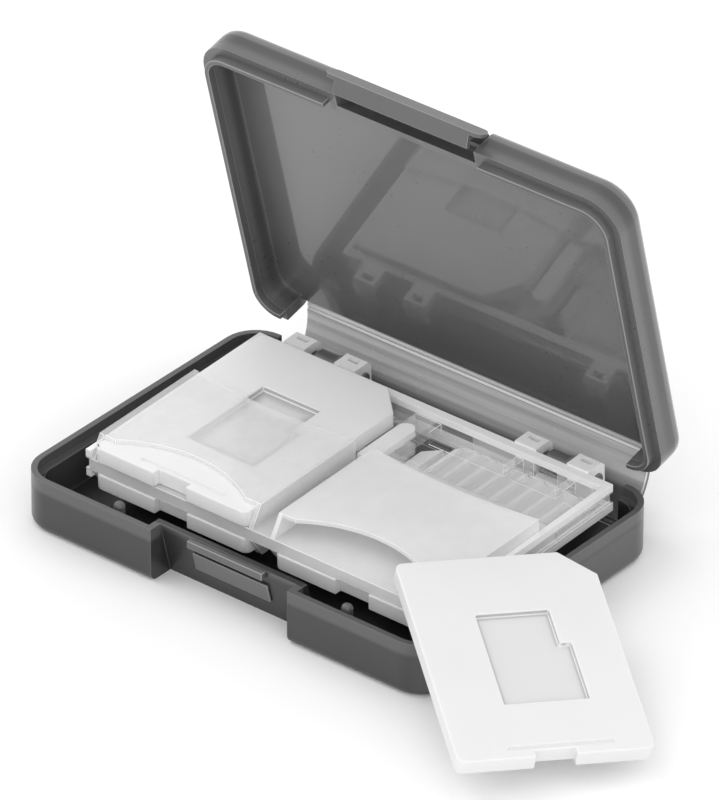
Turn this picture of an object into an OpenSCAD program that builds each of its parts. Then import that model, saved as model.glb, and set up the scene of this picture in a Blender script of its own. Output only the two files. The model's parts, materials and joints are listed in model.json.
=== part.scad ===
// Folding pocket case for four card carriers, opened out.
// Origin: centre of the base's underside. +X right, +Y to the hinge side, +Z up.
// The case is one soft moulding that folds at thin webs: base, spine, lid, latch flap.
// A stiff two-sided tray clips on two rods at the spine and holds two carriers on each face.

/* [Case] */
// Width of the base and the lid
case_w = 64; // [60:0.5:72]
// Depth of the base and the lid beyond the length of a carrier
room_d = 12.6; // [11.5:0.1:18]
// Height of the base, underside to rim
base_h = 7.4; // [7.4:0.1:8.4]
// Height of the lid, outer face to rim
lid_h = 4.4; // [4.4:0.1:5.4]
// Thickness of the floor and of the lid's panel
floor_t = 1.2; // [1:0.05:1.3]
// Thickness of the walls below the seam
wall_t = 1.7; // [1.5:0.05:1.9]
// Thickness of the base's thin skin at the seam
skin_t = 0.8; // [0.6:0.05:0.9]
// Plan radius of the case's corners
corner_r = 4.6; // [4:0.1:5.2]
// Radius of the case's outer edges
edge_r = 1.2; // [0.6:0.1:1.6]
// Half length of the open stretch between the two back corners
gap_half = 27; // [25:0.5:27.5]

/* [Seam] */
// How far the lid's lip stands past its rim
lip_h = 1.2; // [0.8:0.1:1.4]
// Thickness of the lid's lip
lip_t = 0.65; // [0.5:0.05:0.8]
// Gap between the lip and the skin round it
lip_gap = 0.3; // [0.2:0.05:0.35]
// Gap under the lip and under the latch when shut
seam_gap = 0.2; // [0.1:0.05:0.3]

/* [Front recess and latch] */
// Half width of the recess in the front walls
recess_half = 10.6; // [9:0.1:12]
// Thickness of the recess walls
recess_t = 0.9; // [0.7:0.05:1.1]
// Depth of the base's recess at the underside
recess_foot = 3.7; // [3.2:0.1:4]
// Depth of both recesses at the seam
recess_top = 1.8; // [1.6:0.1:2.2]
// Depth of the lid's recess at its outer face
recess_lid = 3.9; // [3.7:0.1:4.1]
// Distance of the latch's fold line behind the front face
latch_inset = 2.6; // [2.4:0.05:2.7]
// Half length of the catch bar
bar_half = 5.8; // [4:0.1:8]
// Height of the catch bar
bar_h = 1; // [0.8:0.05:1.2]
// How far the catch bar stands behind the front face
bar_inset = 1.05; // [0.9:0.05:1.2]
// How far the catch bar's top lies under the rim
bar_drop = 0.1; // [0.1:0.05:0.3]
// Height of the raised pad under the catch bar
pad_h = 2.6; // [1.5:0.1:3]
// How far the pad stands out of the recess wall
pad_t = 0.35; // [0.2:0.05:0.45]
// Thickness of the latch flap
flap_t = 0.7; // [0.6:0.05:0.8]
// Gap between the flap's sides and the recess
flap_side_gap = 0.3; // [0.2:0.05:0.5]
// Half width of the flap's finger lip
wing_half = 12; // [11:0.1:14]
// Height of the flap's finger lip
wing_h = 2.2; // [1.5:0.1:2.4]
// Thickness of the flap's finger lip
wing_t = 0.5; // [0.4:0.05:0.6]
// How far the shut flap stands in front of the front face
flap_proud = 0.2; // [0:0.05:0.3]
// Depth of the flap's shoulder under its fold line
flap_shoulder = 2.6; // [2:0.1:3]
// Radius of the flap's shoulder
flap_bend = 1.4; // [0.8:0.1:1.6]
// How far the flap stands open at rest
flap_open = 27; // [0:1:40]
// Height of the hook under the catch bar
hook_h = 0.6; // [0.5:0.05:0.8]
// Length of the hook behind the flap's outer face
hook_l = 1.8; // [1.5:0.05:2]
// Play of the hook under the catch bar
hook_gap = 0.1; // [0.05:0.05:0.2]
// Distance of the pad under the shut hook
pad_drop = 0.5; // [0.3:0.1:0.8]

/* [Posts] */
// Distance of the two posts from the middle
post_x = 17.7; // [14:0.1:24]
// Radius of the posts
post_r = 0.75; // [0.5:0.05:0.8]
// Gap between a post and the shut lid's lip
post_gap = 0.1; // [0.05:0.05:0.3]

/* [Spine and webs] */
// Height of the lower fold line over the underside
hinge_z = 0.7; // [0.6:0.05:0.8]
// Depth of the upper fold line under the lid's outer face
hinge_n = 0.7; // [0.6:0.05:0.8]
// Thickness of the spine
spine_t = 0.9; // [0.8:0.05:1]
// How far the spine's middle bows out
spine_bow = 1.75; // [1.5:0.05:2]
// Gap between the spine's ends and the back corners
spine_gap = 0.4; // [0.3:0.1:3]
// Angle of the spine from the table at rest
spine_a = 62.7; // [58:0.1:70]
// Angle of the lid from the table at rest
lid_a = 104.5; // [100:0.1:110]
// Thickness of the folding webs
web_t = 0.4; // [0.3:0.05:0.45]
// Radius of the beads along the fold lines
bead_r = 0.35; // [0.3:0.05:0.38]
// Gap left where two mouldings' edges meet at a fold
fold_gap = 0.1; // [0.06:0.01:0.14]

/* [Tray] */
// Distance of the tray's middle from the base's middle, to the right
tray_x = 0.5; // [0:0.1:0.6]
// Distance of the tray's middle from the base's middle, to the back
tray_y = 1; // [0.8:0.1:1.2]
// Height of the tray's middle
tray_z = 7.36; // [7.3:0.01:7.5]
// Slope of the tray at rest, front down
tray_a = 1.8; // [1:0.1:2]
// Width of the tray's side rails
rail_w = 0.8; // [0.6:0.05:1.1]
// How far the carriers stand out of the tray's front edge
card_proud = 0.2; // [0:0.05:0.3]
// How far the carriers' middles lie in front of the tray's middle
card_set = 0.1; // [0:0.05:0.2]
// Thickness of the plate between the two layers
plate_t = 1.66; // [1.4:0.02:1.8]
// Thickness of the pocket covers
cover_t = 0.6; // [0.5:0.05:0.65]
// Thickness of the pockets' side walls
side_t = 0.6; // [0.5:0.05:0.7]
// How far the covers' front corners lie behind the tray's front edge
cover_in = 1.8; // [1:0.1:3]
// How far the covers' front edge arches back for the thumb
cover_arch = 3.2; // [2:0.1:4]
// Half length of that arch
thumb_half = 10.2; // [9:0.1:11]
// Distance of the covers' back edge from the tray's middle
cover_back = 3.8; // [3:0.1:6]
// How far the covers' back edge dips
cover_dip = 1; // [0.5:0.1:1.5]
// Height of the side rails over the plate's middle
rail_h = 1.9; // [1.6:0.05:2.2]
// Depth of the groove along each side rail
groove_d = 0.5; // [0.3:0.05:0.6]
// Height of the groove along each side rail
groove_h = 1.4; // [1:0.1:1.6]
// Thickness of the back rail
back_t = 1.2; // [1:0.05:1.3]
// Length of the windows in the plate, front to back
slot_l = 2.4; // [1.5:0.1:2.8]
// Half width of the rib between the carriers
rib_half = 1.2; // [0.8:0.1:1.3]
// Height of the rib between the carriers
rib_h = 0.9; // [0.5:0.1:1.4]
// Distance of that rib's round end from the tray's middle
rib_end = 11.6; // [9:0.1:12]
// Distance of the pockets' inner faces from the tray's middle line
centre_wall = 2; // [1.8:0.05:2.1]

/* [Tray clips] */
// Distance of the rods' middles behind the back rail
rod_set = 1.8; // [1.7:0.05:2.2]
// Radius of the rods
rod_r = 0.9; // [0.8:0.05:1]
// Radial clearance of the rods in their eyes
rod_fit = 0.03; // [0.02:0.01:0.08]
// How far each pair of clips lies outside the middle of its pocket
clip_out = 4.05; // [3.4:0.05:4.4]
// Distance between the middles of the two clips of a pair
clip_step = 8; // [7.6:0.1:8.4]
// Width of a clip
clip_w = 3.3; // [3:0.1:3.6]
// Wall of a clip round its rod
clip_wall = 0.6; // [0.45:0.05:0.65]
// Height of a clip over the rod's middle
clip_top = 2.1; // [1.9:0.05:2.4]
// How far a clip reaches past the rod's middle
clip_reach = 1.4; // [1.3:0.05:1.6]
// Width of the mouth in a clip's underside
mouth_w = 1.3; // [1:0.1:1.4]
// Width of a spine bracket
arm_w = 3; // [2.4:0.1:3.4]
// Wall of a bracket's eye round its rod
eye_wall = 0.55; // [0.45:0.05:0.7]
// Length of rod that stands out past its clips
rod_end = 0.2; // [0.1:0.05:0.6]
// Thickness of a spine bracket
arm_t = 1.6; // [1.2:0.1:1.8]
// Width of the windows in the back rail
window_w = 3.6; // [2.5:0.1:4]
// Size of the cut corners of a clip
clip_cut = 0.6; // [0.4:0.05:0.8]
// Width of the slot in a clip's top
slit_w = 1.7; // [1.2:0.1:2]
// Length of the slot in a clip's top
slit_l = 0.8; // [0.5:0.1:1]
// Width of the legs between the plate's windows
leg_w = 0.6; // [0.4:0.05:0.8]

/* [Carriers] */
// Width of a carrier
card_w = 24; // [24:0.1:24.1]
// Length of a carrier
card_l = 32; // [31.8:0.1:32]
// Thickness of a carrier
card_t = 2.1; // [2:0.01:2.12]
// Size of the cut corner
card_cut = 4; // [3:0.1:5]
// Radius of the other corners
card_r = 1; // [0.5:0.1:1.2]
// Gap between a carrier and its pocket
card_gap = 0.1; // [0.06:0.01:0.14]
// Width of the notch in a carrier's front edge
notch_w = 5; // [4:0.1:6]
// Depth of the notch
notch_d = 1; // [0.6:0.1:1.4]
// Depth of the recess for the small card
seat_d = 0.7; // [0.4:0.05:0.8]
// Width of the recess for the small card
seat_w = 10.4; // [9:0.1:11]
// Distance of that recess's middle from the carrier's middle line
seat_x = 0.9; // [0:0.1:1.5]
// Reach of that recess to the front of the carrier's middle
seat_front = 7.5; // [6:0.1:8]
// Reach of that recess to the back of the carrier's middle
seat_back = 6.9; // [5:0.1:7.5]
// Width of the step in that recess's right side
seat_step_w = 1.4; // [0.8:0.1:2]
// Distance of that step from the carrier's middle
seat_step_y = 1.5; // [0:0.1:3]
// Length of the thumb line near the front edge
ridge_l = 13; // [8:0.5:16]
// Width of the thumb line
ridge_w = 0.5; // [0.3:0.05:0.8]
// Distance of the thumb line in front of the carrier's middle
ridge_y = 14.4; // [13.5:0.1:14.5]
// Depth of the thumb line
ridge_d = 0.3; // [0.2:0.05:0.5]
// Distance of the contact field behind the carrier's middle
rib_field_y = 8.5; // [7:0.1:10]
// Depth of the contact field
rib_field_d = 0.4; // [0.2:0.05:0.6]
// Number of ribs on the contact side
rib_count = 8; // [4:1:8]
// Distance between ribs
rib_step = 2.5; // [2.2:0.05:2.6]
// Width of a rib
rib_w = 0.7; // [0.5:0.05:0.9]

/* [Loose carrier] */
// Place of the loose carrier's top face, to the right
loose_x = 42.2; // [42:0.1:44]
// Place of the loose carrier's top face, to the back
loose_y = -16.85; // [-18:0.05:-16.8]
// Height of the middle of the loose carrier's top face
loose_z = 8.85; // [8.8:0.05:9.2]
// Turn of the loose carrier on the table
loose_turn = 52.9; // [50:0.1:56]
// Slope of the loose carrier along its length
loose_pitch = 14.6; // [14:0.1:15]
// Slope of the loose carrier across its width
loose_roll = 4.5; // [4:0.1:5]

/* [Hidden] */

// Facets of true round faces, and of the cushioned corners that are hulled
round_fn = 64;
hull_fn = 32;
// Overcut, so that no cut ends flush with a face
over = 1;

smoke = [0.36, 0.37, 0.38];
smoke_light = [0.5, 0.51, 0.52];
clear_grey = [0.86, 0.87, 0.88];
carrier_white = [0.95, 0.95, 0.95];

case_d = card_l + room_d;

// Seam: the lip stands inside the skin, on a ledge of the wall
lip_inset = skin_t + lip_gap;
lip_inner = lip_inset + lip_t;
ledge_z = base_h - lip_h - seam_gap;

// Fold lines: both lie on the case's back face when it is shut
back_y = case_d / 2;
spine_l = base_h + lid_h - hinge_z - hinge_n;
fold_edge = bead_r + fold_gap;
spine_half = gap_half - spine_gap;
// Length of each web, which fills the notch cut in its panel's edge
web_reach = 1;
top_y = back_y + spine_l * cos(spine_a);
top_z = hinge_z + spine_l * sin(spine_a);

// Spine: an arc through both fold lines, with its bow behind the chord
spine_r = (spine_l * spine_l / 4 + spine_bow * spine_bow) / (2 * spine_bow);
spine_c = spine_r - spine_bow;

// Latch, in the lid's own frame: v runs from hinge to front, n from outer face to rim
latch_sink = 0.15;
latch_v = case_d - latch_inset;
latch_n = bead_r + latch_sink;
flap_reach = latch_inset + flap_proud;
bar_top = base_h - bar_drop;
bar_bottom = bar_top - bar_h;
hook_top = lid_h + base_h - bar_bottom - latch_n + hook_gap;
flap_l = hook_top + hook_h;
pad_top = bar_bottom - hook_gap - hook_h - pad_drop;
wing_flat = 0.1;
wing_r = wing_h / 2 - wing_flat;
flap_half = recess_half - flap_side_gap;

// Tray: the carriers lie card_y from its middle and stop against the back rail
pocket_h = card_t + card_gap;
plate_h = plate_t / 2;
cover_h = plate_h + pocket_h;
tray_top = cover_h + cover_t;
pocket_half = card_w / 2 + card_gap;
pocket_x = centre_wall + pocket_half;
tray_half = pocket_x + pocket_half + side_t + rail_w;
card_y = -card_set;
tray_front = card_l / 2 + card_set - card_proud;
cover_front = tray_front - cover_in;
stop_y = card_y + card_l / 2 + card_gap;
rod_y = stop_y + back_t + rod_set;
clip_x = pocket_x + clip_out;
clip_r = rod_r + rod_fit + clip_wall;
arm_eye_r = rod_r + rod_fit + eye_wall;
rod_half = clip_step / 2 + clip_w / 2 + rod_end;
rod_world_y = tray_y + rod_y * cos(tray_a);
rod_world_z = tray_z + rod_y * sin(tray_a);
rod_dy = rod_world_y - back_y;
rod_dz = rod_world_z - hinge_z;
rod_u = rod_dy * cos(spine_a) + rod_dz * sin(spine_a);
rod_n = -rod_dy * sin(spine_a) + rod_dz * cos(spine_a);

// Extrudes a side view drawn in Y and Z to a length that is centred on X = 0
module side_view(length) {
    rotate([90, 0, 90])
        translate([0, 0, -length / 2])
            linear_extrude(length)
                children();
}

// Rectangle with round corners, centred
module round_rect(w, d, r) {
    square([w - 2 * r, d], center = true);
    square([w, d - 2 * r], center = true);
    for (sx = [-1, 1], sy = [-1, 1])
        translate([sx * (w / 2 - r), sy * (d / 2 - r)])
            circle(r, $fn = round_fn);
}

module round_slab(w, d, h, r) {
    linear_extrude(h)
        round_rect(w, d, r);
}

// Block with round corners in plan and a round lower edge
module tub(w, d, h, r, e) {
    hull()
        for (sx = [-1, 1], sy = [-1, 1])
            translate([sx * (w / 2 - r), sy * (d / 2 - r), 0])
                rotate_extrude($fn = hull_fn)
                    intersection() {
                        square([r, h]);
                        union() {
                            translate([0, e])
                                square([r, h]);
                            square([r - e, h]);
                            translate([r - e, e])
                                circle(e, $fn = hull_fn);
                        }
                    }
}

// Space in front of a recess wall, as a side view
// y is the distance behind the front face, low and high are the depths at z = 0 and z = h
module recess_space(low, high, h) {
    slope = (high - low) / h;
    polygon([
        [-over, -over],
        [low - slope * over, -over],
        [high + slope * over, h + over],
        [-over, h + over]
    ]);
}

// Shell that base and lid share: a tub with a stepped inside, a front recess and an open back
// The front face is at y = -d / 2
module case_half(h, low, high, step_t, step_z) {
    difference() {
        tub(case_w, case_d, h, corner_r, edge_r);
        difference() {
            union() {
                translate([0, 0, floor_t])
                    round_slab(case_w - 2 * wall_t, case_d - 2 * wall_t, h, corner_r - wall_t);
                translate([0, 0, step_z])
                    round_slab(case_w - 2 * step_t, case_d - 2 * step_t, h, corner_r - step_t);
            }
            translate([0, -case_d / 2, 0])
                side_view(2 * (recess_half + recess_t))
                    translate([recess_t, 0])
                        recess_space(low, high, h);
        }
        translate([0, -case_d / 2, 0])
            side_view(2 * recess_half)
                recess_space(low, high, h);
        translate([-gap_half, back_y - web_reach, -over])
            cube([2 * gap_half, web_reach + over, h + 2 * over]);
        translate([-gap_half, back_y - wall_t - over, floor_t])
            cube([2 * gap_half, wall_t + 2 * over, h]);
    }
}

// Thin web from a panel's edge towards a fold line, which lies at z = fold_z
module web(half, fold_z) {
    translate([-half, -web_reach, fold_z - web_t / 2])
        cube([2 * half, web_reach - fold_edge, web_t]);
}

// Puts what is drawn in the spine's frame in place: u runs up the chord, n to the inside
module at_spine() {
    translate([0, back_y, hinge_z])
        rotate([spine_a, 0, 0])
            children();
}

// Puts what is drawn in the lid's frame in place: y is v, z is n
module at_lid() {
    translate([0, top_y, top_z])
        rotate([lid_a, 0, 0])
            translate([0, 0, -hinge_n])
                children();
}

// Puts what is drawn in the tray's frame in place
module at_tray() {
    translate([tray_x, tray_y, tray_z])
        rotate([tray_a, 0, 0])
            children();
}

module base_shell() {
    color(smoke)
        case_half(base_h, recess_foot, recess_top, skin_t, ledge_z);
}

module catch_bar() {
    color(smoke_light) {
        intersection() {
            translate([-bar_half, bar_inset - case_d / 2, bar_bottom])
                cube([2 * bar_half, recess_foot, bar_h]);
            translate([0, -case_d / 2, 0])
                side_view(2 * case_w)
                    recess_space(recess_foot, recess_top, base_h);
        }
        intersection() {
            translate([-bar_half, -case_d / 2, pad_top - pad_h])
                cube([2 * bar_half, recess_foot, pad_h]);
            translate([0, -case_d / 2, 0])
                side_view(2 * case_w)
                    difference() {
                        recess_space(recess_foot, recess_top, base_h);
                        translate([-pad_t, 0])
                            recess_space(recess_foot, recess_top, base_h);
                    }
        }
    }
}

module front_posts() {
    post_y = lip_inner + post_gap + post_r - case_d / 2;
    post_top = base_h - bar_drop;
    color(smoke_light)
        for (side = [-1, 1])
            translate([side * post_x, post_y, 0]) {
                translate([0, 0, floor_t])
                    cylinder(h = post_top - post_r - floor_t, r = post_r, $fn = round_fn);
                intersection() {
                    translate([0, 0, post_top - post_r])
                        sphere(post_r, $fn = round_fn);
                    translate([-post_r, -post_r, post_top - post_r])
                        cube(2 * post_r);
                }
            }
}

module base_hinge_web() {
    color(smoke_light)
        translate([0, back_y, 0])
            web(spine_half, hinge_z);
}

module spine_profile() {
    intersection() {
        difference() {
            translate([spine_l / 2, spine_c])
                circle(spine_r + spine_t / 2, $fn = 2 * round_fn);
            translate([spine_l / 2, spine_c])
                circle(spine_r - spine_t / 2, $fn = 2 * round_fn);
        }
        translate([0, -spine_l])
            square(spine_l);
    }
    for (u = [0, spine_l])
        translate([u, 0])
            circle(bead_r, $fn = round_fn);
}

module spine_panel() {
    color(smoke)
        at_spine()
            side_view(2 * spine_half)
                spine_profile();
}

// Arm from the spine to an eye round the rod
module bracket(side) {
    color(smoke)
        translate([side * clip_x + tray_x, 0, 0])
            at_spine()
                side_view(arm_w)
                    difference() {
                        union() {
                            translate([rod_u - arm_t / 2, -spine_bow])
                                square([arm_t, rod_n + spine_bow]);
                            translate([rod_u, rod_n])
                                circle(arm_eye_r, $fn = round_fn);
                        }
                        translate([rod_u, rod_n])
                            circle(rod_r + rod_fit, $fn = round_fn);
                        difference() {
                            translate([rod_u - arm_t, -2 * spine_bow])
                                square([2 * arm_t, 2 * spine_bow]);
                            translate([spine_l / 2, spine_c])
                                circle(spine_r - spine_t / 2, $fn = 2 * round_fn);
                        }
                    }
}

module bracket_left() bracket(-1);
module bracket_right() bracket(1);

module rod(side) {
    color(smoke)
        translate([side * clip_x + tray_x, rod_world_y, rod_world_z])
            rotate([0, 90, 0])
                cylinder(h = 2 * rod_half, r = rod_r, center = true, $fn = round_fn);
}

module rod_left() rod(-1);
module rod_right() rod(1);

module lid_shell() {
    color(smoke)
        at_lid()
            translate([0, back_y, 0])
                rotate([0, 0, 180])
                    case_half(lid_h, recess_lid, recess_top, wall_t, floor_t);
}

module lid_lip() {
    clear_of_latch = recess_half + recess_t + lip_gap;
    color(smoke_light)
        at_lid()
            translate([0, back_y, lid_h])
                difference() {
                    round_slab(case_w - 2 * lip_inset, case_d - 2 * lip_inset, lip_h,
                        corner_r - lip_inset);
                    translate([0, 0, -over])
                        round_slab(case_w - 2 * lip_inner, case_d - 2 * lip_inner,
                            lip_h + 2 * over, corner_r - lip_inner);
                    translate([-clear_of_latch, 0, -over])
                        cube([2 * clear_of_latch, case_d, lip_h + 2 * over]);
                    translate([-gap_half, -case_d, -over])
                        cube([2 * gap_half, case_d, lip_h + 2 * over]);
                }
}

module lid_hinge_web() {
    color(smoke_light)
        at_lid()
            mirror([0, 1, 0])
                web(spine_half, hinge_n);
}

module latch_hinge_web() {
    color(smoke_light)
        at_lid()
            intersection() {
                translate([-flap_half, 0, latch_n - web_t / 2])
                    cube([2 * flap_half, latch_v - fold_edge, web_t]);
                translate([0, case_d, 0])
                    mirror([0, 1, 0])
                        side_view(2 * case_w)
                            recess_space(recess_lid, recess_top, lid_h);
            }
}

// Outer line of the flap, moved in by a distance: a slope from the fold line to a round
// shoulder, then a straight drop
module flap_block(inset) {
    offset(r = -inset, $fn = round_fn)
        offset(r = flap_bend, $fn = round_fn)
            offset(delta = -flap_bend)
                polygon([
                    [-flap_shoulder, -bead_r],
                    [0, -bead_r],
                    [flap_reach, flap_shoulder - bead_r],
                    [flap_reach, 2 * flap_l],
                    [-flap_shoulder, 2 * flap_l]
                ]);
}

// Flap as a side view, shut, with its fold line at the origin
module flap_profile() {
    circle(bead_r, $fn = round_fn);
    intersection() {
        difference() {
            flap_block(0);
            flap_block(flap_t);
        }
        translate([0, -bead_r])
            square([flap_reach, flap_l + bead_r]);
    }
    translate([flap_reach - hook_l, hook_top])
        square([hook_l, hook_h]);
}

module latch_flap() {
    color(smoke_light)
        at_lid()
            translate([0, latch_v, latch_n])
                rotate([-flap_open, 0, 0]) {
                    side_view(2 * flap_half)
                        flap_profile();
                    translate([0, flap_reach, flap_l - wing_h / 2])
                        rotate([-90, 0, 0])
                            round_slab(2 * wing_half, wing_h, wing_t, wing_r);
                }
}

module tray_frame() {
    rail_x = pocket_x + pocket_half + side_t;
    color(clear_grey)
        at_tray()
            difference() {
                union() {
                    translate([-tray_half, -tray_front, -plate_h])
                        cube([2 * tray_half, tray_front + stop_y, plate_t]);
                    for (side = [-1, 1])
                        translate([side < 0 ? -tray_half : rail_x, -tray_front, -rail_h])
                            cube([tray_half - rail_x, tray_front + stop_y, 2 * rail_h]);
                    translate([-tray_half, stop_y, -rail_h])
                        cube([2 * tray_half, back_t, 2 * rail_h]);
                    for (face = [-1, 1])
                        mirror([0, 0, face < 0 ? 1 : 0])
                            middle_rib();
                }
                for (side = [-1, 1]) {
                    translate([side * tray_half, 0, 0])
                        cube([2 * groove_d, 4 * card_l, groove_h], center = true);
                    for (step = [-1, 0, 1])
                        plate_window(side, step);
                    translate([side * clip_x - window_w / 2, stop_y - over, -rail_h / 2])
                        cube([window_w, back_t + 2 * over, rail_h]);
                }
            }
}

// Rib along the middle of the plate, behind the pockets, with a round end
module middle_rib() {
    translate([0, 0, plate_h])
        linear_extrude(rib_h) {
            translate([-rib_half, cover_back])
                square([2 * rib_half, rib_end - cover_back]);
            translate([0, rib_end])
                circle(rib_half, $fn = round_fn);
        }
}

// Window in the plate in front of the back rail, one of three on each side
module plate_window(side, step) {
    left_x = [centre_wall, clip_x - clip_step / 2 + leg_w, clip_x + clip_step / 2 + leg_w];
    right_x = [clip_x - clip_step / 2 - leg_w, clip_x + clip_step / 2 - leg_w,
        pocket_x + pocket_half];
    low = left_x[step + 1];
    high = right_x[step + 1];
    translate([side < 0 ? -high : low, stop_y - slot_l, -plate_t])
        cube([high - low, slot_l, 2 * plate_t]);
}

module tray_clips() {
    rail_back = stop_y + back_t;
    clip_back = rod_y + clip_reach;
    color(clear_grey)
        at_tray()
            for (side = [-1, 1], step = [-1, 1])
                translate([side * clip_x + step * clip_step / 2, 0, 0])
                    difference() {
                        side_view(clip_w)
                            difference() {
                                polygon([
                                    [rail_back, -clip_r],
                                    [rod_y, -clip_r],
                                    [clip_back, -clip_r + clip_cut],
                                    [clip_back, clip_top - clip_cut],
                                    [clip_back - clip_cut, clip_top],
                                    [rail_back, clip_top]
                                ]);
                                translate([rod_y, 0])
                                    circle(rod_r + rod_fit, $fn = round_fn);
                                translate([rod_y - mouth_w / 2, -2 * clip_r])
                                    square([mouth_w, 2 * clip_r]);
                            }
                        translate([-slit_w / 2, rod_y - slit_l / 2, 0])
                            cube([slit_w, slit_l, 2 * clip_top]);
                    }
}

// Pocket for one carrier: two side walls and a cover, on the upper or the lower face
module pocket(side, face) {
    outer = pocket_half + side_t;
    thumb_r = (thumb_half * thumb_half + cover_arch * cover_arch) / (2 * cover_arch);
    dip_r = (outer * outer + cover_dip * cover_dip) / (2 * cover_dip);
    color(clear_grey)
        at_tray()
            translate([side * pocket_x, 0, 0])
                mirror([0, 0, face < 0 ? 1 : 0]) {
                    for (wall = [-1, 1])
                        translate([wall * (outer - side_t / 2), 0, 0])
                            side_view(side_t)
                                polygon([
                                    [-tray_front, plate_h],
                                    [-cover_front, tray_top],
                                    [cover_back, tray_top],
                                    [cover_back, plate_h]
                                ]);
                    translate([0, 0, cover_h])
                        linear_extrude(cover_t)
                            difference() {
                                translate([-outer, -cover_front])
                                    square([2 * outer, cover_front + cover_back]);
                                translate([0, cover_arch - cover_front - thumb_r])
                                    circle(thumb_r, $fn = 2 * round_fn);
                                translate([0, cover_back - cover_dip + dip_r])
                                    circle(dip_r, $fn = 2 * round_fn);
                            }
                }
}

module pocket_upper_left() pocket(-1, 1);
module pocket_upper_right() pocket(1, 1);
module pocket_lower_left() pocket(-1, -1);
module pocket_lower_right() pocket(1, -1);

// Carrier plate: top face at z = 0, front edge at -Y, contact side below
module carrier() {
    difference() {
        translate([0, 0, -card_t])
            linear_extrude(card_t)
                difference() {
                    round_rect(card_w, card_l, card_r);
                    translate([card_w / 2, card_l / 2])
                        rotate(-45)
                            square([2 * card_w, card_cut * sqrt(2)], center = true);
                    translate([-notch_w / 2, -card_l / 2 - notch_d])
                        square([notch_w, 2 * notch_d]);
                }
        translate([seat_x - seat_w / 2, -seat_front, -seat_d])
            cube([seat_w - seat_step_w, seat_front + seat_back, 2 * seat_d]);
        translate([seat_x - seat_w / 2, -seat_front, -seat_d])
            cube([seat_w, seat_front + seat_step_y, 2 * seat_d]);
        translate([seat_x - ridge_l / 2, -ridge_y - ridge_w / 2, -ridge_d])
            cube([ridge_l, ridge_w, 2 * ridge_d]);
        difference() {
            translate([-rib_count * rib_step / 2, rib_field_y, -card_t - rib_field_d])
                cube([rib_count * rib_step, card_l, 2 * rib_field_d]);
            for (i = [0 : rib_count - 1])
                translate([(i - (rib_count - 1) / 2) * rib_step - rib_w / 2, 0, -2 * card_t])
                    cube([rib_w, card_l, 2 * card_t]);
        }
    }
}

module carrier_upper_left() {
    color(carrier_white)
        at_tray()
            translate([-pocket_x, card_y, plate_h + card_t + card_gap / 2])
                carrier();
}

module carrier_lower_left() {
    color(carrier_white)
        at_tray()
            translate([-pocket_x, card_y, -plate_h - card_gap / 2])
                carrier();
}

module carrier_lower_right() {
    color(carrier_white)
        at_tray()
            translate([pocket_x, card_y, -plate_h - card_t - card_gap / 2])
                rotate([0, 180, 0])
                    carrier();
}

module carrier_loose() {
    color(carrier_white)
        translate([loose_x, loose_y, loose_z])
            rotate([0, 0, loose_turn])
                rotate([loose_pitch, 0, 0])
                    rotate([0, loose_roll, 0])
                        carrier();
}

base_shell();
catch_bar();
front_posts();
base_hinge_web();
spine_panel();
bracket_left();
bracket_right();
rod_left();
rod_right();
lid_shell();
lid_lip();
lid_hinge_web();
latch_hinge_web();
latch_flap();
tray_frame();
tray_clips();
pocket_upper_left();
pocket_upper_right();
pocket_lower_left();
pocket_lower_right();
carrier_upper_left();
carrier_lower_left();
carrier_lower_right();
carrier_loose();
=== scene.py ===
"""Scene for the folding card case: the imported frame, its finished pieces, materials, lights and camera."""
import json
import math

import bmesh
import bpy
from mathutils import Matrix, Vector

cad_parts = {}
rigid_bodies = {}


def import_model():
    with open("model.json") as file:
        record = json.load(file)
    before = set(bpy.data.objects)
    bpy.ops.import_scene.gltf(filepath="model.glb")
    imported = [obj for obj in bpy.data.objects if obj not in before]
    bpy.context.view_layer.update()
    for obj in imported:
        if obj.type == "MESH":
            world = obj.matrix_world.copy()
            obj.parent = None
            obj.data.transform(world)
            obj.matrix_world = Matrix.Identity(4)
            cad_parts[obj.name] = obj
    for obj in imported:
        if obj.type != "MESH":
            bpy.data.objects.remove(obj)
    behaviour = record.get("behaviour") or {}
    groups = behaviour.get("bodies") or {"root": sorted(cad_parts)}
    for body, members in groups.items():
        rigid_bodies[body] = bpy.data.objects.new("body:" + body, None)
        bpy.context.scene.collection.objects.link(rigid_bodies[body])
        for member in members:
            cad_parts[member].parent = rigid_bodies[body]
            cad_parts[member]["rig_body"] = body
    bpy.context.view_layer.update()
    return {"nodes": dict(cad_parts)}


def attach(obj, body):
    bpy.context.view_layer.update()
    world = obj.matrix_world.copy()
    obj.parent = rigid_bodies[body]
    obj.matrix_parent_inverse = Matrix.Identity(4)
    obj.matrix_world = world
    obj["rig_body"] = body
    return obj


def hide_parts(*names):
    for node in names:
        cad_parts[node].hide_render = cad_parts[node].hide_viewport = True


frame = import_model()
NODES = frame["nodes"]

MM = 0.001

# Camera, in degrees and metres, with the picture it was fitted to in pixels and its sensor in millimetres
CAMERA_AZIMUTH = 39.017
CAMERA_ELEVATION = 31.752
CAMERA_ROLL = 0.302
CAMERA_PLACE = (0.634658, -0.778990, 0.641120)
CAMERA_NEAR = 0.05
CAMERA_FAR = 10.0
FOCAL_PIXELS = 9843.78
PICTURE_HEIGHT_PIXELS = 800.0
SENSOR_HEIGHT = 36.0

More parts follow.
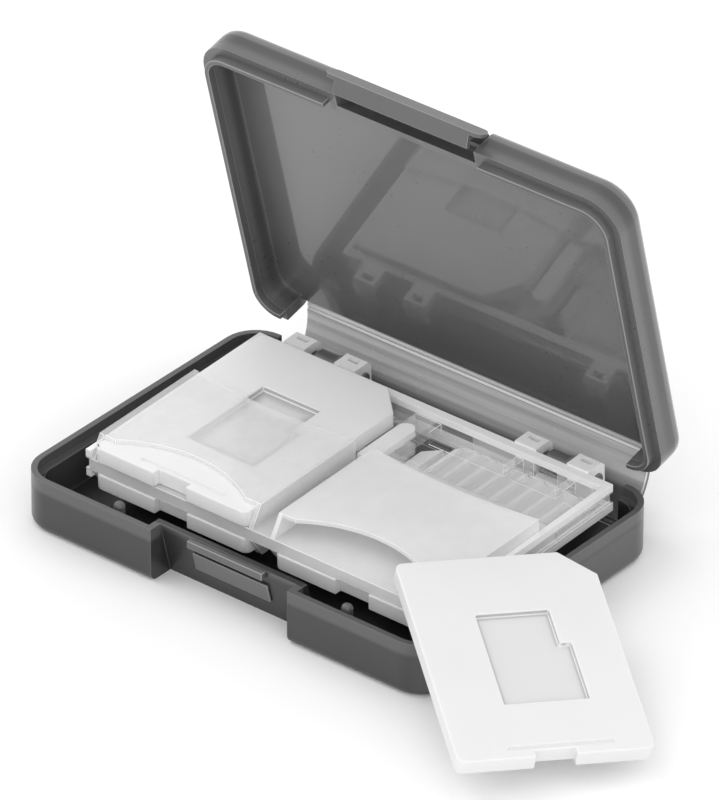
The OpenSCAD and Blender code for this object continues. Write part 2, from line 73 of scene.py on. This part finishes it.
# Sizes and angles of the case, in millimetres and degrees
CASE_DEPTH = 44.6
BASE_HEIGHT = 7.4
LID_HEIGHT = 4.4
FOLD_HEIGHT = 0.7
SPINE_ANGLE = 62.7
LID_ANGLE = 104.5
TRAY_ANGLE = 1.8
TRAY_MIDDLE = (1.0, 7.36)
SPINE_LENGTH = BASE_HEIGHT + LID_HEIGHT - 2 * FOLD_HEIGHT
BASE_FOLD = (CASE_DEPTH / 2, FOLD_HEIGHT)
LID_FOLD = (BASE_FOLD[0] + SPINE_LENGTH * math.cos(math.radians(SPINE_ANGLE)),
            BASE_FOLD[1] + SPINE_LENGTH * math.sin(math.radians(SPINE_ANGLE)))
SPINE_AXIS = (18.597, 8.462)

# Where a tone changes: the place and the width it fades over, in millimetres; on the base, lid and spine
# these tones are painted light and shade
BASE_RIM = (5.75, 0.8)
BASE_WALL_TOP = (5.6, 1.0)
BASE_CORNER = (30.0, 3.0)
BASE_FLOOR_SIDE = (30.2, 0.4)
BASE_FLOOR_END = (20.4, 0.4)
LID_GLOSS_DEPTH = (1.5, 0.3)
LID_WALL_DEPTH = (1.6, 0.5)
LID_RIM_DEPTH = (3.1, 1.4)
LID_LOW_END = (20.0, 16.0)
LID_RECESS_SIDE = (10.8, 0.2)
LID_RECESS_START = (38.6, 0.6)
SPINE_PALE_FROM = (5.2, 2.4)
SPINE_TOP_FROM = (8.9, 0.5)
SPINE_FOLD_LINE = (9.85, 0.2)
SPINE_OUTER_FACE = (8.6, 0.2)
FIELD_START = (7.6, 0.6)
WINDOW_START = (8.6, 0.4)
WINDOW_SIDE = (2.8, 0.2)
WINDOW_MIDDLE = 4.6
RAIL_HEIGHT = (0.95, 0.1)

# The contact side of the lower right carrier, with painted shade in the gaps between its ribs, in millimetres
CONTACT_MIDDLE = 14.6
CONTACT_SIDE = (10.0, 0.1)
CONTACT_FRONT = (9.4, 0.2)
RIB_STEP = 2.5
RIB_SIDE = (0.4, 0.2)

# The recess in a carrier, from the carrier's middle, in millimetres, which sets where painted shade lies
# along the foot of its walls
SEAT_MIDDLE = (0.9, -0.3)
SEAT_HALF = (5.2, 7.2)
SEAT_STEP_FROM = (1.5, 0.1)
SEAT_STEP_WIDTH = 1.4
SEAT_WALL = (0.05, 0.1)
SEAT_FLOOR = (-0.1, 0.1)
SEAT_WALL_SHARE = 0.8
SEAT_FLOOR_SHARE = 0.2
UPPER_LEFT_MIDDLE = (-13.6, 0.9)
UPPER_LEFT_FADE = 1.0
LOOSE_MIDDLE = (42.2, -16.85, 8.85)
LOOSE_TURNS = (52.9, 14.6, 4.5)
LOOSE_FADE = 0.3

# Grey levels from 0 to 255 that are laid over a material's own: painted shade in the carriers' rib gaps and
# along their recess walls, and the dark draw lines
RIB_GAP_SHADE_LEVEL = 206
STREAK_LEVEL = 70
UPPER_LEFT_SEAT_SHADE_LEVEL = 176
LOOSE_SEAT_SHADE_LEVEL = 178

# Noise patterns: their scale per millimetre, detail and roughness
CLOUDS = (0.09, 2.0, 0.55)
GRAIN = (4.0, 2.0, 0.55)
MARKS = (1.1, 4.0, 0.7)
FROST = (0.35, 3.0, 0.55)
STREAKS = (1.0, 3.0, 0.55)
FLOOR_CLOUDS = (0.02, 3.0, 0.55)
STREAK_STRETCH = (0.02, 1.3, 1.3)
STREAK_FROM = (0.52, 0.3)

# What the plastics are like: shares and roughness from 0 to 1, and how deep light goes, in metres
MARK_ROUGHNESS = 0.14
CLOUD_ROUGHNESS = 0.08
FROST_ALPHA = 0.08
SMOKE_REFRACTION = 1.49
SMOKE_COAT = 0.25
SMOKE_COAT_MATT = 0.2
SMOKE_COAT_GLOSS = 0.8
CLEAR_REFRACTION = 1.49
CLEAR_ROUGHNESS = 0.16
CLEAR_COAT = 0.5
CLEAR_COAT_ROUGHNESS = 0.05
CARRIER_REFRACTION = 1.5
CARRIER_ROUGHNESS = 0.42
CARRIER_DEPTH_SHARE = 0.12
CARRIER_DEPTH = 0.002

# Rounding of the moulded edges, in millimetres and degrees
SHELL_EDGE = 0.12
THIN_EDGE = 0.1
COVER_EDGE = 0.26
CARRIER_EDGE = 0.14
EDGE_SEGMENTS = 3
SHARP_ANGLE = 24.0
FLAT_ANGLE = 0.6
MERGE_DISTANCE = 0.0005

# Floor and lamps, in metres and watts: each lamp's name, place, target, size and power
FLOOR_HALF = 2.0
FLOOR_LEVELS = (250, 253)
FLOOR_ROUGHNESS = 0.9
LAMPS = (
    ("key", (-0.35, -0.15, 0.55), (0.0, 0.0, 0.02), (0.35, 0.35), 0.5),
    ("fill", (0.45, -0.5, 0.35), (0.0, 0.0, 0.02), (0.4, 0.3), 0.8),
    ("back", (0.1, 0.6, 0.4), (0.0, 0.0, 0.03), (0.5, 0.2), 0.2),
)


# Camera

def make_camera():
    azimuth = math.radians(CAMERA_AZIMUTH)
    elevation = math.radians(CAMERA_ELEVATION)
    roll = math.radians(CAMERA_ROLL)
    back = Vector((math.sin(azimuth) * math.cos(elevation), -math.cos(azimuth) * math.cos(elevation),
                   math.sin(elevation)))
    right = Vector((math.cos(azimuth), math.sin(azimuth), 0.0))
    up = back.cross(right)
    right_rolled = right * math.cos(roll) + up * math.sin(roll)
    up_rolled = up * math.cos(roll) - right * math.sin(roll)
    data = bpy.data.cameras.new("camera")
    data.sensor_fit = "VERTICAL"
    data.sensor_height = SENSOR_HEIGHT
    data.lens = FOCAL_PIXELS * SENSOR_HEIGHT / PICTURE_HEIGHT_PIXELS
    data.clip_start = CAMERA_NEAR
    data.clip_end = CAMERA_FAR
    camera = bpy.data.objects.new("camera", data)
    place = Matrix((right_rolled, up_rolled, back)).transposed().to_4x4()
    place.translation = Vector(CAMERA_PLACE)
    camera.matrix_world = place
    bpy.context.scene.collection.objects.link(camera)
    bpy.context.scene.camera = camera


# Shader sockets

class Socket:
    """One output socket of a node tree, or a number, with arithmetic."""

    def __init__(self, paint, value):
        self.paint = paint
        self.value = value

    def _math(self, operation, other=None, swap=False):
        terms = [self.value] if other is None else [self.value, getattr(other, "value", other)]
        if swap:
            terms.reverse()
        return self.paint.node("ShaderNodeMath", inputs=terms, operation=operation)

    def __add__(self, other):
        return self._math("ADD", other)

    def __sub__(self, other):
        return self._math("SUBTRACT", other)

    def __mul__(self, other):
        return self._math("MULTIPLY", other)

    def __truediv__(self, other):
        return self._math("DIVIDE", other)

    def __rsub__(self, other):
        return self._math("SUBTRACT", other, swap=True)

    __radd__ = __add__
    __rmul__ = __mul__

    def abs(self):
        return self._math("ABSOLUTE")

    def largest(self, other):
        return self._math("MAXIMUM", other)

    def fract(self):
        return self._math("FRACT")

    def root(self):
        return self._math("SQRT")

    def above(self, edge, soft):
        """0 below the edge and 1 over it, with a soft step of the given width."""
        return self.paint.node("ShaderNodeMapRange", interpolation_type="SMOOTHSTEP",
                               inputs=[self.value, edge - soft / 2, edge + soft / 2, 0.0, 1.0])

    def below(self, edge, soft):
        return 1.0 - self.above(edge, soft)


class Paint:
    """A material under construction."""

    def __init__(self, name):
        self.material = bpy.data.materials.new(name)
        self.material.use_nodes = True
        self.tree = self.material.node_tree
        self.shader = self.tree.nodes["Principled BSDF"]

    def node(self, kind, output=0, inputs=(), **settings):
        made = self.tree.nodes.new(kind)
        for key, setting in settings.items():
            setattr(made, key, setting)
        pairs = inputs.items() if isinstance(inputs, dict) else enumerate(inputs)
        for key, value in pairs:
            self.link(value, made.inputs[key])
        return Socket(self, made.outputs[output])

    def link(self, value, socket):
        value = getattr(value, "value", value)
        if isinstance(value, bpy.types.NodeSocket):
            self.tree.links.new(value, socket)
        else:
            socket.default_value = value

    def place(self):
        """The point in millimetres, in the frame at rest, which is each mesh's own space."""
        texture = self.tree.nodes.new("ShaderNodeTexCoord")
        return self.node("ShaderNodeVectorMath", operation="SCALE",
                         inputs={0: texture.outputs["Object"], "Scale": 1.0 / MM})

    def parts(self, vector):
        split = self.tree.nodes.new("ShaderNodeSeparateXYZ")
        self.link(vector, split.inputs[0])
        return [Socket(self, split.outputs[i]) for i in range(3)]

    def noise(self, vector, scale, detail, rough):
        return self.node("ShaderNodeTexNoise", output="Fac",
                         inputs={"Vector": vector, "Scale": scale, "Detail": detail, "Roughness": rough})

    def mix(self, factor, low, high):
        made = self.tree.nodes.new("ShaderNodeMix")
        made.data_type = "RGBA"
        colours = [s for s in made.inputs if s.type == "RGBA"]
        self.link(factor, made.inputs[0])
        self.link(low, colours[0])
        self.link(high, colours[1])
        return Socket(self, [s for s in made.outputs if s.type == "RGBA"][0])

    def bump(self, height, distance):
        return self.node("ShaderNodeBump",
                         inputs={"Height": height, "Distance": distance * MM, "Strength": 1.0})

    def set(self, **sockets):
        for key, value in sockets.items():
            self.link(value, self.shader.inputs[key.replace("_", " ")])


def grey(level):
    """A grey by its sRGB level from 0 to 255, as a linear colour."""
    share = level / 255.0
    linear = share / 12.92 if share <= 0.04045 else ((share + 0.055) / 1.055) ** 2.4
    return (linear, linear, linear, 1.0)


# Plastics

def moulded(name, level, roughness, grain, mottle):
    """Moulded polypropylene: faint flow clouds, soft handling marks and, with a grain, a fine eroded surface.

    It returns the paint, the point and the clouded colour, which the caller lays on.
    """
    paint = Paint(name)
    at = paint.place()
    clouds = paint.noise(at, *CLOUDS)
    marks = paint.noise(at, *MARKS)
    paint.set(Roughness=roughness + (marks - 0.5) * MARK_ROUGHNESS + (clouds - 0.5) * CLOUD_ROUGHNESS)
    if grain:
        paint.set(Normal=paint.bump(paint.noise(at, *GRAIN), grain))
    return paint, at, paint.mix(clouds, grey(level - mottle), grey(level + mottle))


def smoke_shell(name, level, roughness=0.4, regions=(), gloss=None, coat_roughness=0.12, grain=0.012,
                streaks=0.0):
    """Smoke-grey translucent plastic.

    regions are pairs of a mask and a grey level, painted in order; gloss is where the coat is full; streaks
    is the strength of the dark draw lines along X.
    """
    paint, at, colour = moulded(name, level, roughness, grain, mottle=5)
    x, y, z = paint.parts(at)
    for mask, region_level in regions:
        colour = paint.mix(mask(x, y, z), colour, grey(region_level))
    if streaks:
        drawn = paint.node("ShaderNodeVectorMath", inputs=[at, STREAK_STRETCH], operation="MULTIPLY")
        lines = paint.noise(drawn, *STREAKS).above(*STREAK_FROM)
        colour = paint.mix(lines * streaks, colour, grey(STREAK_LEVEL))
    coat = gloss(x, y, z) * SMOKE_COAT_GLOSS + SMOKE_COAT_MATT if gloss else SMOKE_COAT
    paint.set(Base_Color=colour, IOR=SMOKE_REFRACTION, Coat_Weight=coat, Coat_Roughness=coat_roughness)
    return paint.material


def clear_plastic(name, alpha, level, areas=()):
    """Clear plastic with a faint frost; areas are pairs of a mask and the alpha there, laid on in order."""
    paint, at, colour = moulded(name, level, CLEAR_ROUGHNESS, grain=0.002, mottle=4)
    x, y, z = paint.parts(at)
    cover = (paint.noise(at, *FROST) - 0.5) * FROST_ALPHA + alpha
    for mask, area_alpha in areas:
        there = mask(x, y, z)
        cover = cover * (1.0 - there) + there * area_alpha
    paint.set(Base_Color=colour, Alpha=cover, IOR=CLEAR_REFRACTION, Coat_Weight=CLEAR_COAT,
              Coat_Roughness=CLEAR_COAT_ROUGHNESS)
    return paint.material


def carrier_white(name, level, sunk=None, sunk_level=None):
    """White moulded plastic; sunk is a mask of the recesses, where painted shade is laid on at sunk_level."""
    paint, at, colour = moulded(name, level, CARRIER_ROUGHNESS, grain=0.004, mottle=3)
    if sunk:
        # Painted shade in the recesses.
        colour = paint.mix(sunk(*paint.parts(at)), colour, grey(sunk_level))
    paint.set(Base_Color=colour, IOR=CARRIER_REFRACTION, Subsurface_Weight=CARRIER_DEPTH_SHARE,
              Subsurface_Scale=CARRIER_DEPTH, Subsurface_Radius=(1.0, 1.0, 1.0))
    return paint.material


# Places on the case, from a point's coordinates in the frame at rest

def lid_depth(y, z):
    """Distance from the lid's outer face towards its rim, in millimetres."""
    turn = math.radians(LID_ANGLE)
    return (y - LID_FOLD[0]) * -math.sin(turn) + (z - LID_FOLD[1]) * math.cos(turn) + FOLD_HEIGHT


def lid_reach(y, z):
    """Distance along the lid from its fold line towards its front, in millimetres."""
    turn = math.radians(LID_ANGLE)
    return (y - LID_FOLD[0]) * math.cos(turn) + (z - LID_FOLD[1]) * math.sin(turn)


def spine_along(y, z):
    """Distance up the spine from its lower fold line, in millimetres."""
    slope = math.radians(SPINE_ANGLE)
    return (y - BASE_FOLD[0]) * math.cos(slope) + (z - BASE_FOLD[1]) * math.sin(slope)


def spine_radius(y, z):
    """Distance from the axis of the spine's arc, in millimetres.

    Its inner face lies at 8.15 and its outer face at 9.05.
    """
    across = y - SPINE_AXIS[0]
    up = z - SPINE_AXIS[1]
    return (across * across + up * up).root()


def tray_height(y, z):
    """Distance over the middle of the tray's plate, in millimetres."""
    slope = math.radians(TRAY_ANGLE)
    return (z - TRAY_MIDDLE[1]) * math.cos(slope) - (y - TRAY_MIDDLE[0]) * math.sin(slope)


def rib_gaps(x, y, z):
    """1 in the sunk strips between the ribs of the lower right carrier's contact side, where painted shade is
    laid on.
    """
    along = (x - CONTACT_MIDDLE) / RIB_STEP
    from_rib = (along.fract() - 0.5).abs() * RIB_STEP
    inside = (x - CONTACT_MIDDLE).abs().below(*CONTACT_SIDE)
    return from_rib.above(*RIB_SIDE) * inside * y.above(*CONTACT_FRONT)


def seat_shade_line(across, along, fade):
    """Mask of painted shade: 1 along the foot of the walls of a carrier's recess, with a fainter share over
    its floor, from a point in the carrier's own plane.
    """
    step = along.above(*SEAT_STEP_FROM) * SEAT_STEP_WIDTH
    right = across - SEAT_MIDDLE[0] - SEAT_HALF[0] + step
    left = SEAT_MIDDLE[0] - SEAT_HALF[0] - across
    ends = (along - SEAT_MIDDLE[1]).abs() - SEAT_HALF[1]
    edge = right.largest(left).largest(ends)
    wall = edge.above(-fade, 2.0 * fade) * edge.below(*SEAT_WALL)
    return wall * SEAT_WALL_SHARE + edge.below(*SEAT_FLOOR) * SEAT_FLOOR_SHARE


def upper_left_seat_shade(x, y, z):
    return seat_shade_line(x - UPPER_LEFT_MIDDLE[0], y - UPPER_LEFT_MIDDLE[1], UPPER_LEFT_FADE)


def loose_seat_shade(x, y, z):
    turn, pitch, roll = (math.radians(a) for a in LOOSE_TURNS)
    axes = Matrix.Rotation(turn, 3, "Z") @ Matrix.Rotation(pitch, 3, "X") @ Matrix.Rotation(roll, 3, "Y")
    away = (x - LOOSE_MIDDLE[0], y - LOOSE_MIDDLE[1], z - LOOSE_MIDDLE[2])
    across, along = (away[0] * axes[0][i] + away[1] * axes[1][i] + away[2] * axes[2][i] for i in (0, 1))
    return seat_shade_line(across, along, LOOSE_FADE)


# Finishes of the case's own pieces

def base_plastic():
    """Painted light and shade: lighter along the rim and round the corners as painted light, dark on the
    floor inside as painted shade.
    """
    return smoke_shell("smoke_base", 52, regions=(
        (lambda x, y, z: z.above(*BASE_RIM) * 0.8, 90),
        (lambda x, y, z: x.abs().above(*BASE_CORNER) * z.below(*BASE_WALL_TOP) * 0.6, 92),
        (lambda x, y, z: x.abs().below(*BASE_FLOOR_SIDE) * y.abs().below(*BASE_FLOOR_END), 40)))


def lid_plastic():
    """A polished panel with darker walls as painted shade, a paler rim, and painted light in the recess at
    the latch flap's fold that lifts the shadow there.
    """
    return smoke_shell("smoke_lid", 99, 0.3, regions=(
        (lambda x, y, z: lid_depth(y, z).above(*LID_WALL_DEPTH), 72),
        (lambda x, y, z: lid_depth(y, z).above(*LID_RIM_DEPTH), 100),
        (lambda x, y, z: z.below(*LID_LOW_END) * 0.4, 90),
        (lambda x, y, z: x.abs().below(*LID_RECESS_SIDE) * lid_reach(y, z).above(*LID_RECESS_START), 112)),
        gloss=lambda x, y, z: lid_depth(y, z).below(*LID_GLOSS_DEPTH), coat_roughness=0.03, grain=0.0)


def spine_plastic():
    """Pale over the upper half of its inside, painted light standing in for light through the thin plastic,
    and paler along its upper fold line; dark outside, with draw lines.
    """
    return smoke_shell("smoke_spine", 104, 0.25, streaks=0.3, regions=(
        (lambda x, y, z: spine_along(y, z).above(*SPINE_PALE_FROM), 220),
        (lambda x, y, z: spine_along(y, z).above(*SPINE_TOP_FROM), 228),
        (lambda x, y, z: spine_radius(y, z).above(*SPINE_OUTER_FACE), 92),
        (lambda x, y, z: spine_along(y, z).above(*SPINE_FOLD_LINE), 226)))


def tray_plastic():
    """Clearer over the plate's back field, nearly open at its small window and dense on the rails."""
    return clear_plastic("clear_tray", 0.5, 252, areas=(
        (lambda x, y, z: y.above(*FIELD_START), 0.28),
        (lambda x, y, z: y.above(*WINDOW_START) * (x - WINDOW_MIDDLE).abs().below(*WINDOW_SIDE), 0.04),
        (lambda x, y, z: tray_height(y, z).abs().above(*RAIL_HEIGHT), 0.92)))


# Pieces

def smooth_by_angle(mesh):
    """Shades the mesh smooth, with sharp edges where its faces meet at more than the sharp angle."""
    shaper = bmesh.new()
    shaper.from_mesh(mesh)
    for face in shaper.faces:
        face.smooth = True
    limit = math.radians(SHARP_ANGLE)
    for edge in shaper.edges:
        edge.smooth = len(edge.link_faces) == 2 and edge.calc_face_angle(0.0) < limit
    shaper.to_mesh(mesh)
    shaper.free()


def join_flat_faces(mesh):
    """Turns the triangles of each flat face into one face."""
    shaper = bmesh.new()
    shaper.from_mesh(mesh)
    bmesh.ops.remove_doubles(shaper, verts=shaper.verts, dist=MERGE_DISTANCE * MM)
    bmesh.ops.dissolve_limit(shaper, angle_limit=math.radians(FLAT_ANGLE), verts=shaper.verts,
                             edges=shaper.edges)
    bmesh.ops.recalc_face_normals(shaper, faces=shaper.faces)
    shaper.to_mesh(mesh)
    shaper.free()


def finished(node, material, edge, width):
    """The node's own form with its moulded edges rounded, riding where the node rides.

    The rounded edges take the edge material: on the case and the tray a lighter copy, a painted highlight
    where thin plastic gathers light.
    """
    mesh = NODES[node].data.copy()
    mesh.name = node + ".finished"
    mesh.materials.clear()
    mesh.materials.append(material)
    mesh.materials.append(edge)
    mesh.polygons.foreach_set("material_index", [0] * len(mesh.polygons))
    join_flat_faces(mesh)
    piece = bpy.data.objects.new(node + ".finished", mesh)
    bpy.context.scene.collection.objects.link(piece)
    smooth_by_angle(mesh)
    rounder = piece.modifiers.new("rounded_edges", "BEVEL")
    rounder.width = width * MM
    rounder.segments = EDGE_SEGMENTS
    rounder.limit_method = "ANGLE"
    rounder.angle_limit = math.radians(SHARP_ANGLE)
    rounder.use_clamp_overlap = True
    rounder.miter_outer = "MITER_ARC"
    rounder.material = 1
    normals = piece.modifiers.new("even_normals", "WEIGHTED_NORMAL")
    normals.keep_sharp = False
    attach(piece, NODES[node]["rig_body"])
    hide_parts(node)
    return piece


def make_case():
    """The base, spine, lid and latch flap, with what is moulded on them."""
    # Each smoke plastic has a lighter copy that paints a highlight on its rounded edges.
    fitting = smoke_shell("smoke_fittings", 92)
    fitting_edge_highlight = smoke_shell("smoke_fittings_edge_highlight", 140)
    groups = [
        (base_plastic(), smoke_shell("smoke_base_edge_highlight", 112), SHELL_EDGE, ["base_shell"]),
        (lid_plastic(), smoke_shell("smoke_lid_edge_highlight", 128), SHELL_EDGE, ["lid_shell"]),
        (spine_plastic(), smoke_shell("smoke_spine_edge_highlight", 150), THIN_EDGE, ["spine_panel"]),
        (fitting, fitting_edge_highlight, THIN_EDGE, ["catch_bar", "front_posts", "lid_lip", "latch_flap",
                                            "bracket_left", "bracket_right", "rod_left", "rod_right"]),
    ]
    for material, edge, width, nodes in groups:
        for node in nodes:
            finished(node, material, edge, width)


def make_tray():
    """The clear tray with its clips and pocket covers."""
    # A denser, whiter copy of the clear plastic paints a highlight on the rounded edges.
    edge = clear_plastic("clear_edge_highlight", 0.85, 250)
    right_cover = clear_plastic("clear_covers", 0.62, 254)
    left_cover = clear_plastic("clear_left_covers", 0.36, 254)
    groups = [
        (tray_plastic(), THIN_EDGE, ["tray_frame"]),
        (clear_plastic("clear_clips", 0.92, 254), THIN_EDGE, ["tray_clips"]),
        (right_cover, COVER_EDGE, ["pocket_upper_right", "pocket_lower_right"]),
        (left_cover, COVER_EDGE, ["pocket_upper_left", "pocket_lower_left"]),
    ]
    for material, width, nodes in groups:
        for node in nodes:
            finished(node, material, edge, width)


def make_carriers():
    """The four carriers: the loose one, the two at the left and the ribbed one at the lower right."""
    # The carriers in the tray take a lighter copy of the white, painted light lifting the shade they lie in;
    # the recess lines and rib gaps are painted shade.
    edge = carrier_white("carrier_edge", 231)
    inner = carrier_white("carrier_inner_white_painted_light", 240, upper_left_seat_shade, UPPER_LEFT_SEAT_SHADE_LEVEL)
    groups = [
        (carrier_white("carrier_white", 226, loose_seat_shade, LOOSE_SEAT_SHADE_LEVEL), ["carrier_loose"]),
        (inner, ["carrier_upper_left", "carrier_lower_left"]),
        (carrier_white("carrier_contacts_painted_light_and_shade", 240, rib_gaps, RIB_GAP_SHADE_LEVEL), ["carrier_lower_right"]),
    ]
    for material, nodes in groups:
        for node in nodes:
            finished(node, material, edge, CARRIER_EDGE)


def paint_webs():
    """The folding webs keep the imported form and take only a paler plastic."""
    web = smoke_shell("smoke_web", 190)
    for node in ("base_hinge_web", "lid_hinge_web", "latch_hinge_web"):
        mesh = NODES[node].data
        mesh.materials.clear()
        mesh.materials.append(web)


# Floor and light

def make_floor():
    mesh = bpy.data.meshes.new("floor")
    corners = [(side * FLOOR_HALF, end * FLOOR_HALF, 0) for side, end in ((-1, -1), (1, -1), (1, 1), (-1, 1))]
    mesh.from_pydata(corners, [], [(0, 1, 2, 3)])
    floor = bpy.data.objects.new("floor", mesh)
    bpy.context.scene.collection.objects.link(floor)
    paint = Paint("floor")
    at = paint.place()
    low, high = FLOOR_LEVELS
    paint.set(Base_Color=paint.mix(paint.noise(at, *FLOOR_CLOUDS), grey(low), grey(high)),
              Roughness=FLOOR_ROUGHNESS)
    mesh.materials.append(paint.material)


def area_light(name, place, target, size, power):
    data = bpy.data.lights.new(name, "AREA")
    data.shape = "RECTANGLE"
    data.size, data.size_y = size
    data.energy = power
    lamp = bpy.data.objects.new(name, data)
    lamp.location = place
    lamp.rotation_euler = (Vector(target) - Vector(place)).to_track_quat("-Z", "Y").to_euler()
    bpy.context.scene.collection.objects.link(lamp)


def make_light():
    world = bpy.data.worlds.new("studio")
    bpy.context.scene.world = world
    world.use_nodes = True
    tree = world.node_tree
    tree.nodes.clear()
    output = tree.nodes.new("ShaderNodeOutputWorld")
    white = tree.nodes.new("ShaderNodeBackground")
    white.inputs["Color"].default_value = (1.0, 1.0, 1.0, 1.0)
    white.inputs["Strength"].default_value = 1.0
    tree.links.new(white.outputs[0], output.inputs[0])
    for name, place, target, size, power in LAMPS:
        area_light(name, place, target, size, power)


make_camera()
make_floor()
make_light()
make_case()
make_tray()
make_carriers()
paint_webs()

bpy.context.scene.view_settings.view_transform = "Standard"
